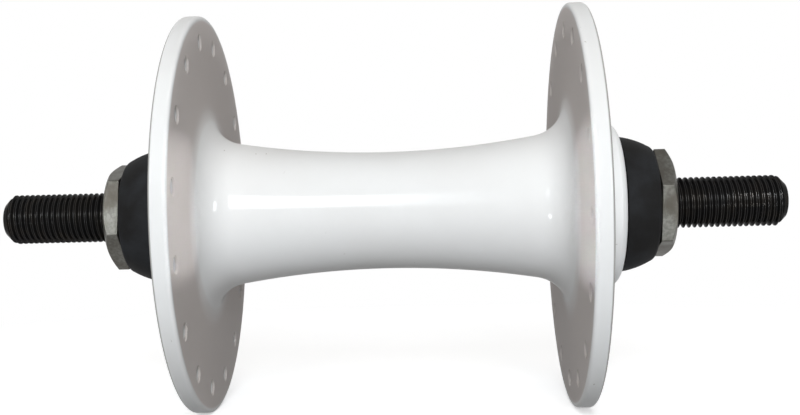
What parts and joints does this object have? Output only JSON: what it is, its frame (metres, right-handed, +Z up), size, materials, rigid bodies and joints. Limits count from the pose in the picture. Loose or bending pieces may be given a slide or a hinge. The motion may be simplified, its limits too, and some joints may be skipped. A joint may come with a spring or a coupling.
{
  "type": "bicycle front hub",
  "caption": "Large-flange bicycle front hub with cup and cone ball bearings, rubber boots, locknuts and a solid threaded axle.",
  "frame": {"origin": "middle of the hub, on the axle's centre line, halfway between the locknuts' outer faces", "axes": "+Y along the axle towards the rider's left, +X forwards, +Z up; the wheel rolling forwards turns positive about +Y"},
  "size_m": [0.0714, 0.14, 0.0714],
  "materials": {
    "white_paint": "gloss white paint over aluminium alloy",
    "black_steel": "black oxide, lightly oiled",
    "bearing_steel": "ground and hardened",
    "pressed_steel": "bright pressed sheet",
    "zinc_plate": "dull bright zinc plate",
    "rubber": "matte moulded rubber"
  },
  "bodies": {
    "axle_assembly": {"axle": "black_steel", "left_cone": "bearing_steel", "left_rubber_boot": "rubber", "left_washer": "zinc_plate", "left_locknut": "zinc_plate", "right_cone": "bearing_steel", "right_rubber_boot": "rubber", "right_washer": "zinc_plate", "right_locknut": "zinc_plate"},
    "shell_assembly": {"hub_shell": "white_paint", "left_bearing_cup": "bearing_steel", "left_dust_cap": "pressed_steel", "right_bearing_cup": "bearing_steel", "right_dust_cap": "pressed_steel"},
    "left_cage": {"left_ball_cage": "pressed_steel"},
    "left_ball_1": {"left_ball_1": "bearing_steel"},
    "left_ball_2": {"left_ball_2": "bearing_steel"},
    "left_ball_3": {"left_ball_3": "bearing_steel"},
    "left_ball_4": {"left_ball_4": "bearing_steel"},
    "left_ball_5": {"left_ball_5": "bearing_steel"},
    "left_ball_6": {"left_ball_6": "bearing_steel"},
    "left_ball_7": {"left_ball_7": "bearing_steel"},
    "left_ball_8": {"left_ball_8": "bearing_steel"},
    "left_ball_9": {"left_ball_9": "bearing_steel"},
    "right_cage": {"right_ball_cage": "pressed_steel"},
    "right_ball_1": {"right_ball_1": "bearing_steel"},
    "right_ball_2": {"right_ball_2": "bearing_steel"},
    "right_ball_3": {"right_ball_3": "bearing_steel"},
    "right_ball_4": {"right_ball_4": "bearing_steel"},
    "right_ball_5": {"right_ball_5": "bearing_steel"},
    "right_ball_6": {"right_ball_6": "bearing_steel"},
    "right_ball_7": {"right_ball_7": "bearing_steel"},
    "right_ball_8": {"right_ball_8": "bearing_steel"},
    "right_ball_9": {"right_ball_9": "bearing_steel"}
  },
  "joints": [
    {"name": "shell_spin", "type": "hinge", "parent": "axle_assembly", "child": "shell_assembly", "pos_m": [0, 0, 0], "axis": [0, 1, 0], "continuous": true},
    {"name": "left_cage_orbit", "type": "hinge", "parent": "axle_assembly", "child": "left_cage", "pos_m": [0, 0.037, 0], "axis": [0, 1, 0], "continuous": true},
    {"name": "left_ball_1_roll", "type": "hinge", "parent": "left_cage", "child": "left_ball_1", "pos_m": [0, 0.037, 0.0083], "axis": [0, 0.7071, 0.7071], "continuous": true},
    {"name": "left_ball_2_roll", "type": "hinge", "parent": "left_cage", "child": "left_ball_2", "pos_m": [0.00533, 0.037, 0.00636], "axis": [0.4545, 0.7071, 0.5417], "continuous": true},
    {"name": "left_ball_3_roll", "type": "hinge", "parent": "left_cage", "child": "left_ball_3", "pos_m": [0.00817, 0.037, 0.00144], "axis": [0.6964, 0.7071, 0.1228], "continuous": true},
    {"name": "left_ball_4_roll", "type": "hinge", "parent": "left_cage", "child": "left_ball_4", "pos_m": [0.00719, 0.037, -0.00415], "axis": [0.6124, 0.7071, -0.3536], "continuous": true},
    {"name": "left_ball_5_roll", "type": "hinge", "parent": "left_cage", "child": "left_ball_5", "pos_m": [0.00284, 0.037, -0.0078], "axis": [0.2418, 0.7071, -0.6645], "continuous": true},
    {"name": "left_ball_6_roll", "type": "hinge", "parent": "left_cage", "child": "left_ball_6", "pos_m": [-0.00284, 0.037, -0.0078], "axis": [-0.2418, 0.7071, -0.6645], "continuous": true},
    {"name": "left_ball_7_roll", "type": "hinge", "parent": "left_cage", "child": "left_ball_7", "pos_m": [-0.00719, 0.037, -0.00415], "axis": [-0.6124, 0.7071, -0.3536], "continuous": true},
    {"name": "left_ball_8_roll", "type": "hinge", "parent": "left_cage", "child": "left_ball_8", "pos_m": [-0.00817, 0.037, 0.00144], "axis": [-0.6964, 0.7071, 0.1228], "continuous": true},
    {"name": "left_ball_9_roll", "type": "hinge", "parent": "left_cage", "child": "left_ball_9", "pos_m": [-0.00533, 0.037, 0.00636], "axis": [-0.4545, 0.7071, 0.5417], "continuous": true},
    {"name": "right_cage_orbit", "type": "hinge", "parent": "axle_assembly", "child": "right_cage", "pos_m": [0, -0.037, 0], "axis": [0, 1, 0], "continuous": true},
    {"name": "right_ball_1_roll", "type": "hinge", "parent": "right_cage", "child": "right_ball_1", "pos_m": [0, -0.037, 0.0083], "axis": [0, 0.7071, -0.7071], "continuous": true},
    {"name": "right_ball_2_roll", "type": "hinge", "parent": "right_cage", "child": "right_ball_2", "pos_m": [0.00533, -0.037, 0.00636], "axis": [-0.4545, 0.7071, -0.5417], "continuous": true},
    {"name": "right_ball_3_roll", "type": "hinge", "parent": "right_cage", "child": "right_ball_3", "pos_m": [0.00817, -0.037, 0.00144], "axis": [-0.6964, 0.7071, -0.1228], "continuous": true},
    {"name": "right_ball_4_roll", "type": "hinge", "parent": "right_cage", "child": "right_ball_4", "pos_m": [0.00719, -0.037, -0.00415], "axis": [-0.6124, 0.7071, 0.3536], "continuous": true},
    {"name": "right_ball_5_roll", "type": "hinge", "parent": "right_cage", "child": "right_ball_5", "pos_m": [0.00284, -0.037, -0.0078], "axis": [-0.2418, 0.7071, 0.6645], "continuous": true},
    {"name": "right_ball_6_roll", "type": "hinge", "parent": "right_cage", "child": "right_ball_6", "pos_m": [-0.00284, -0.037, -0.0078], "axis": [0.2418, 0.7071, 0.6645], "continuous": true},
    {"name": "right_ball_7_roll", "type": "hinge", "parent": "right_cage", "child": "right_ball_7", "pos_m": [-0.00719, -0.037, -0.00415], "axis": [0.6124, 0.7071, 0.3536], "continuous": true},
    {"name": "right_ball_8_roll", "type": "hinge", "parent": "right_cage", "child": "right_ball_8", "pos_m": [-0.00817, -0.037, 0.00144], "axis": [0.6964, 0.7071, -0.1228], "continuous": true},
    {"name": "right_ball_9_roll", "type": "hinge", "parent": "right_cage", "child": "right_ball_9", "pos_m": [-0.00533, -0.037, 0.00636], "axis": [0.4545, 0.7071, -0.5417], "continuous": true}
  ],
  "couplings": [
    {"joint": "left_cage_orbit", "follows": "shell_spin", "ratio": 0.60146},
    {"joint": "left_ball_1_roll", "follows": "shell_spin", "ratio": 1.6706},
    {"joint": "left_ball_2_roll", "follows": "shell_spin", "ratio": 1.6706},
    {"joint": "left_ball_3_roll", "follows": "shell_spin", "ratio": 1.6706},
    {"joint": "left_ball_4_roll", "follows": "shell_spin", "ratio": 1.6706},
    {"joint": "left_ball_5_roll", "follows": "shell_spin", "ratio": 1.6706},
    {"joint": "left_ball_6_roll", "follows": "shell_spin", "ratio": 1.6706},
    {"joint": "left_ball_7_roll", "follows": "shell_spin", "ratio": 1.6706},
    {"joint": "left_ball_8_roll", "follows": "shell_spin", "ratio": 1.6706},
    {"joint": "left_ball_9_roll", "follows": "shell_spin", "ratio": 1.6706},
    {"joint": "right_cage_orbit", "follows": "shell_spin", "ratio": 0.60146},
    {"joint": "right_ball_1_roll", "follows": "shell_spin", "ratio": 1.6706},
    {"joint": "right_ball_2_roll", "follows": "shell_spin", "ratio": 1.6706},
    {"joint": "right_ball_3_roll", "follows": "shell_spin", "ratio": 1.6706},
    {"joint": "right_ball_4_roll", "follows": "shell_spin", "ratio": 1.6706},
    {"joint": "right_ball_5_roll", "follows": "shell_spin", "ratio": 1.6706},
    {"joint": "right_ball_6_roll", "follows": "shell_spin", "ratio": 1.6706},
    {"joint": "right_ball_7_roll", "follows": "shell_spin", "ratio": 1.6706},
    {"joint": "right_ball_8_roll", "follows": "shell_spin", "ratio": 1.6706},
    {"joint": "right_ball_9_roll", "follows": "shell_spin", "ratio": 1.6706}
  ]
}
